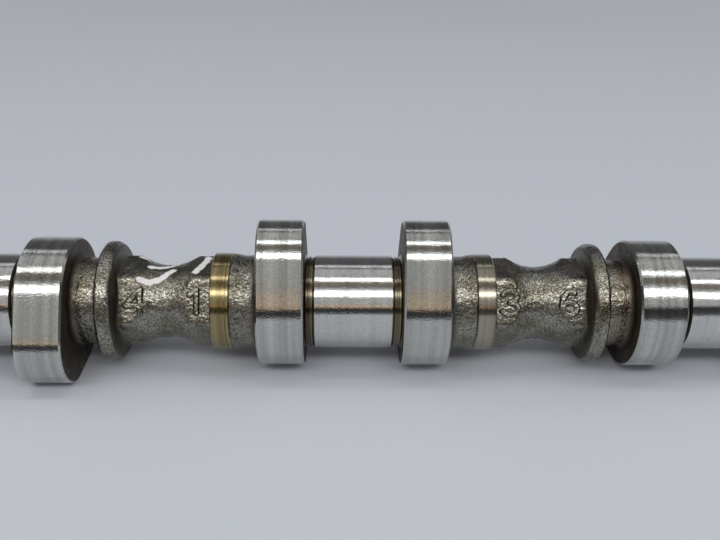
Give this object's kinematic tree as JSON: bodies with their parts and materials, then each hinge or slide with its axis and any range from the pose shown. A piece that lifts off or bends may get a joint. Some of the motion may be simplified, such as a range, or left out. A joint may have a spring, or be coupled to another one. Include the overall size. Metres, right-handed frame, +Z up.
{
  "type": "camshaft",
  "caption": "Straight cast camshaft with round bearing journals between pairs of ground cam lobes, hexagonal waisted grips and round collars, and a drilled drive nose.",
  "frame": {"origin": "on the shaft's axis, in the middle of the centre bearing journal", "axes": "+X along the shaft from the drilled drive nose at -X towards the plain end, +Z up as the shaft lies still, along the noses of the centre pair of lobes"},
  "size_m": [0.316, 0.0466, 0.0442],
  "materials": {
    "iron": "cast grey-brown skin, with the lobes, journals and bands ground bright"
  },
  "bodies": {
    "root": {"camshaft": "iron"}
  },
  "joints": []
}
